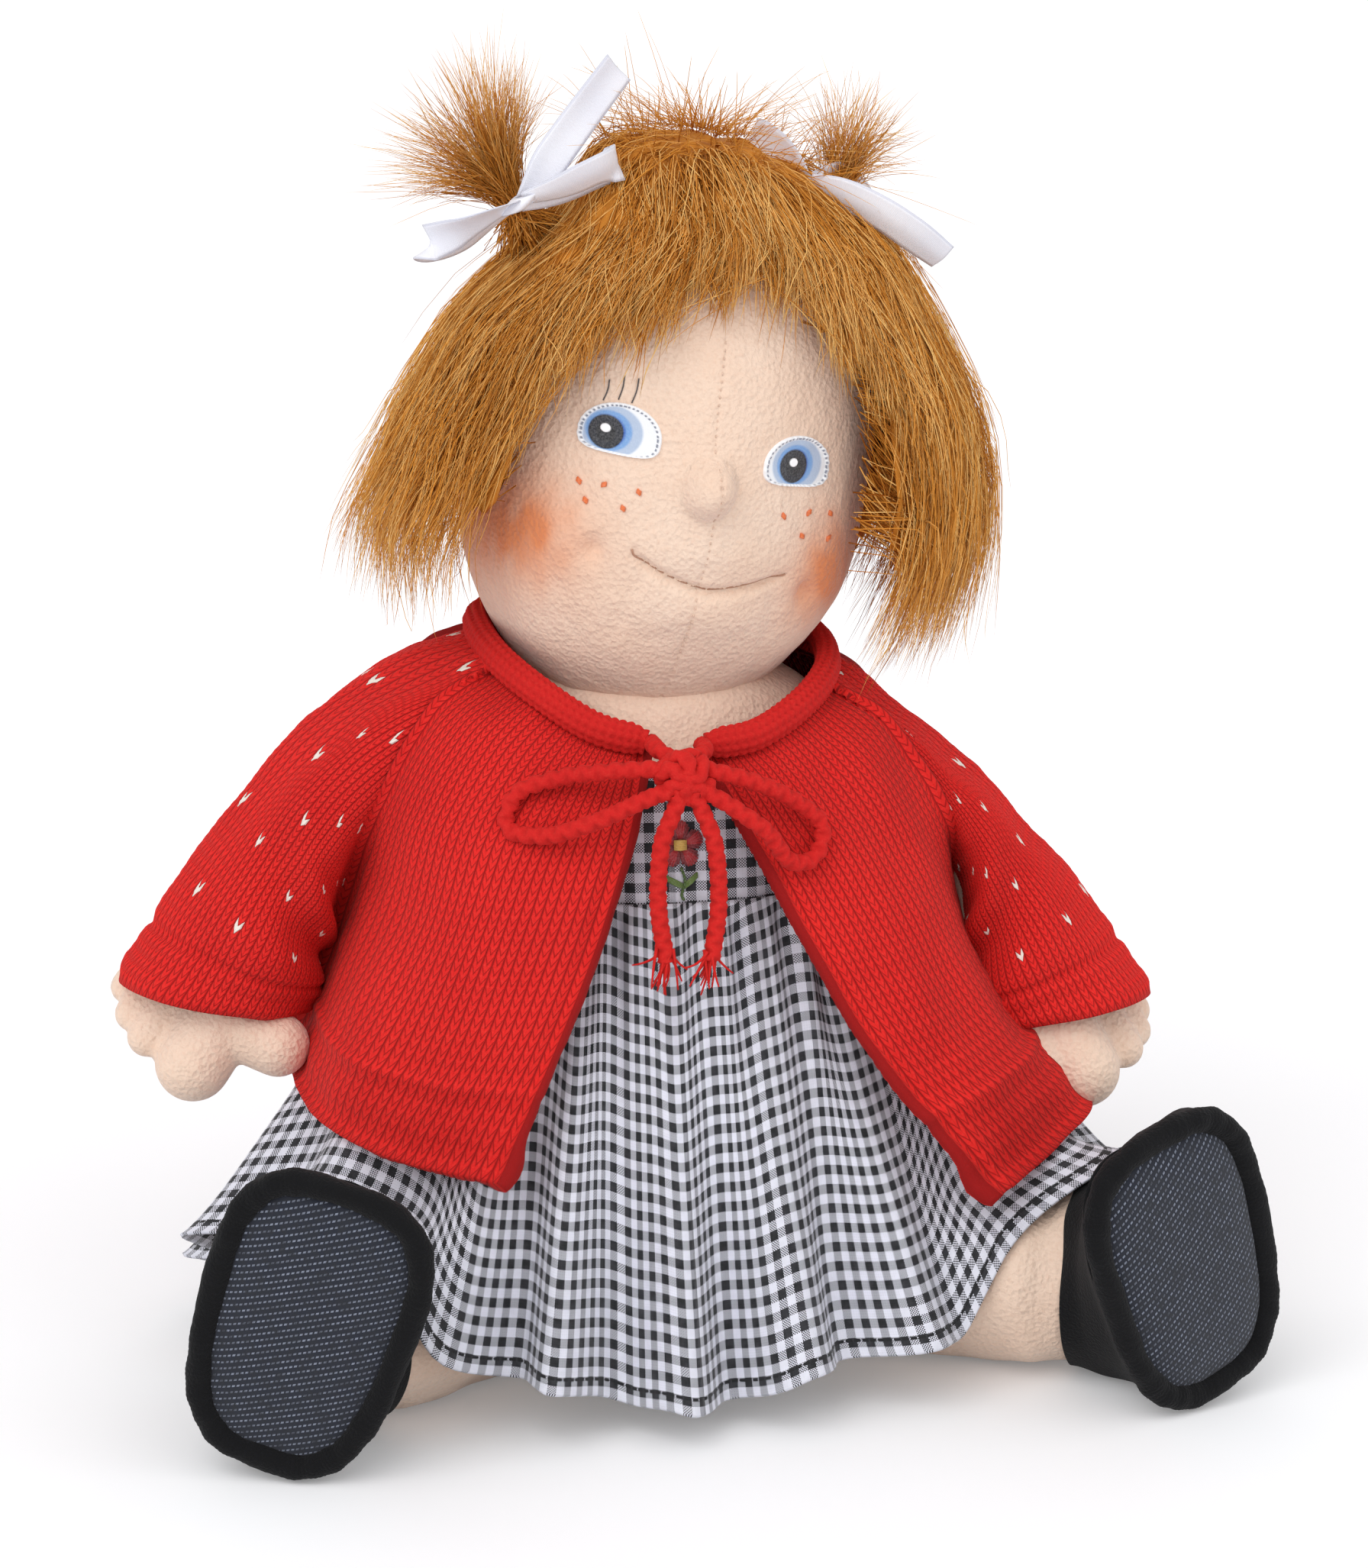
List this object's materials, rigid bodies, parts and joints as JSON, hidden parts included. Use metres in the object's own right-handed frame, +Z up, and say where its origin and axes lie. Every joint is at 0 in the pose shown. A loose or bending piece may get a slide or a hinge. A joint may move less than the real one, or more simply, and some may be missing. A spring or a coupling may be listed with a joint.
{
  "type": "soft doll",
  "caption": "Seated stuffed fleece doll with a fur wig tied in ribboned bunches, a gingham dress, a knitted cardigan and felt shoes; head, arms and legs turn at their seams.",
  "frame": {"origin": "middle of the seated doll's box, on the surface it sits on", "axes": "+Z up, the doll faces -Y, and its own left is +X"},
  "size_m": [0.3076, 0.2372, 0.3584],
  "materials": {
    "skin_fleece": "short pile",
    "stuffing": "loose fibre",
    "wig_fur": "long pile",
    "ribbon_satin": "satin",
    "eye_embroidery": "satin stitch",
    "gingham": "plain weave",
    "white_cotton": "plain weave",
    "flower_embroidery": "satin stitch",
    "red_knit": "stocking stitch",
    "black_felt": "felt",
    "denim": "twill"
  },
  "bodies": {
    "torso": {"torso_cover": "skin_fleece", "torso_stuffing": "stuffing", "knickers": "white_cotton", "dress_bodice": "gingham", "dress_flower": "flower_embroidery", "dress_skirt": "gingham", "cardigan_front_left": "red_knit", "cardigan_front_right": "red_knit", "cardigan_back": "red_knit", "cardigan_collar": "red_knit", "tie_knot": "red_knit", "tie_lead_left": "red_knit", "tie_loop_left": "red_knit", "tie_tail_left": "red_knit", "tie_lead_right": "red_knit", "tie_loop_right": "red_knit", "tie_tail_right": "red_knit"},
    "arm_left": {"arm_cover_left": "skin_fleece", "arm_stuffing_left": "stuffing", "cardigan_sleeve_left": "red_knit"},
    "leg_left": {"leg_cover_left": "skin_fleece", "leg_stuffing_left": "stuffing", "shoe_upper_left": "black_felt", "shoe_sole_left": "denim", "shoe_binding_left": "black_felt"},
    "arm_right": {"arm_cover_right": "skin_fleece", "arm_stuffing_right": "stuffing", "cardigan_sleeve_right": "red_knit"},
    "leg_right": {"leg_cover_right": "skin_fleece", "leg_stuffing_right": "stuffing", "shoe_upper_right": "black_felt", "shoe_sole_right": "denim", "shoe_binding_right": "black_felt"},
    "head": {"head_cover": "skin_fleece", "head_stuffing": "stuffing", "eye_left": "eye_embroidery", "eye_right": "eye_embroidery", "nose": "skin_fleece", "hair_cap": "wig_fur", "hair_bunch_left": "wig_fur", "hair_ribbon_knot_left": "ribbon_satin", "hair_ribbon_loop_inner_left": "ribbon_satin", "hair_ribbon_loop_outer_left": "ribbon_satin", "hair_ribbon_tail_left": "ribbon_satin", "hair_bunch_right": "wig_fur", "hair_ribbon_knot_right": "ribbon_satin", "hair_ribbon_loop_inner_right": "ribbon_satin", "hair_ribbon_loop_outer_right": "ribbon_satin", "hair_ribbon_tail_right": "ribbon_satin"}
  },
  "joints": [
    {"name": "neck_turn", "type": "hinge", "parent": "torso", "child": "head", "pos_m": [-0.00685, 0.00712, 0.185], "axis": [0, 0, 1], "range_deg": [-35, 35]},
    {"name": "shoulder_left", "type": "hinge", "parent": "torso", "child": "arm_left", "pos_m": [0.07915, 0.01312, 0.146], "axis": [-1, 0, 0], "range_deg": [-15, 90]},
    {"name": "shoulder_right", "type": "hinge", "parent": "torso", "child": "arm_right", "pos_m": [-0.09285, 0.01312, 0.158], "axis": [-1, 0, 0], "range_deg": [-15, 90]},
    {"name": "hip_left", "type": "hinge", "parent": "torso", "child": "leg_left", "pos_m": [0.04715, -0.02288, 0.029], "axis": [-1, 0, 0], "range_deg": [-85, 6], "deforming": ["dress_skirt"]},
    {"name": "hip_right", "type": "hinge", "parent": "torso", "child": "leg_right", "pos_m": [-0.05085, -0.02288, 0.029], "axis": [-1, 0, 0], "range_deg": [-85, 6], "deforming": ["dress_skirt"]}
  ]
}
